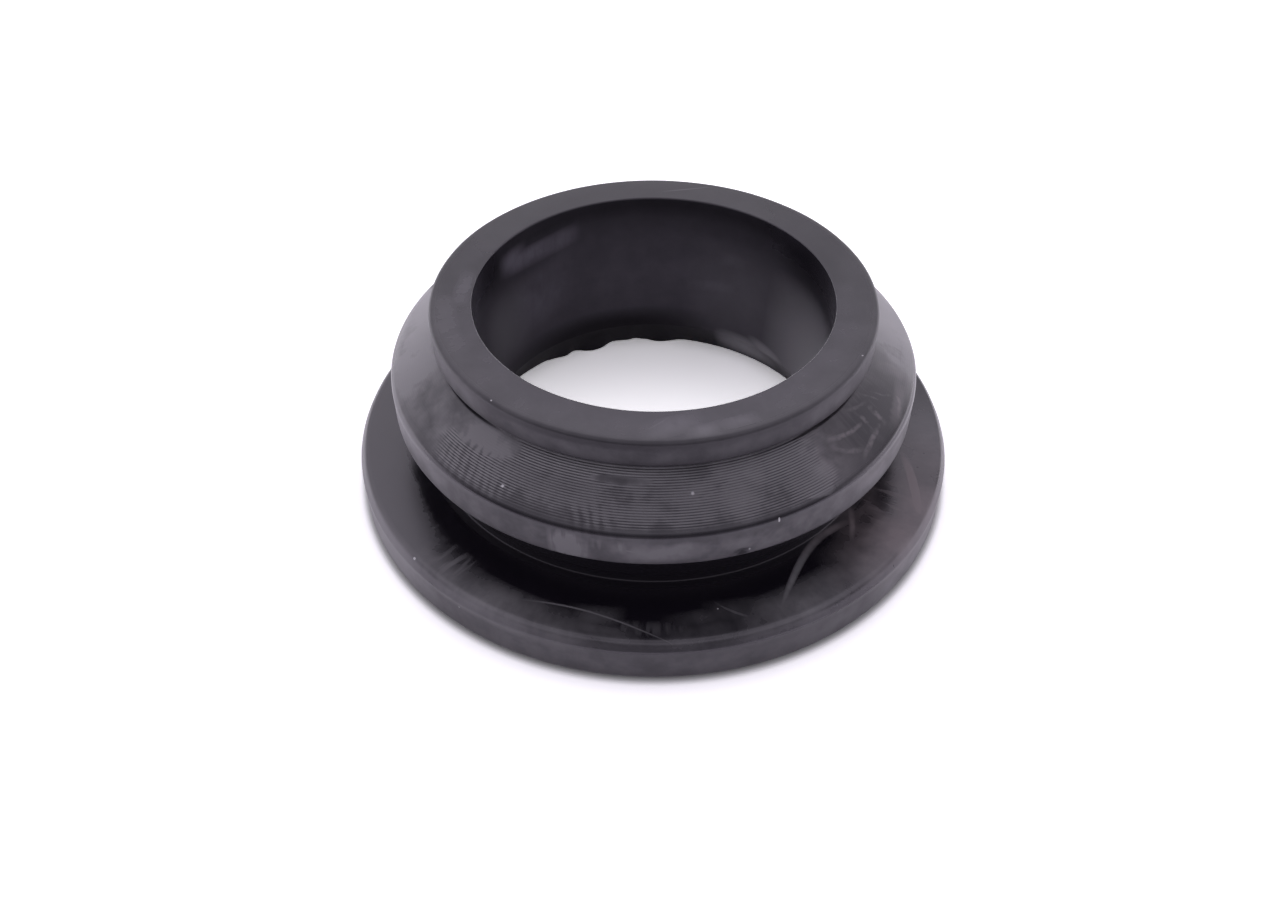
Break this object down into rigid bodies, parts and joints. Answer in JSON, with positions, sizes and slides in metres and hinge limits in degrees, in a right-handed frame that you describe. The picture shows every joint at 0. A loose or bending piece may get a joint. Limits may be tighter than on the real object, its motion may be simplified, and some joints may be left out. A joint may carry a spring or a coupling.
{
  "type": "sealing ring",
  "caption": "Snap-in rubber sealing ring with a wide flange, a panel groove, a ridged conical lip and a short nose around a plain bore with a lead-in.",
  "frame": {"origin": "centre of the flange's flat underside, on the ring's axis", "axes": "+Z along the ring's axis, from the flange towards the nose; the ring is turned about Z, so X and Y are any two square directions"},
  "size_m": [0.052, 0.052, 0.0173],
  "materials": {
    "rubber": "satin black moulded rubber, scuffed"
  },
  "bodies": {
    "root": {"sealing_ring": "rubber"}
  },
  "joints": []
}
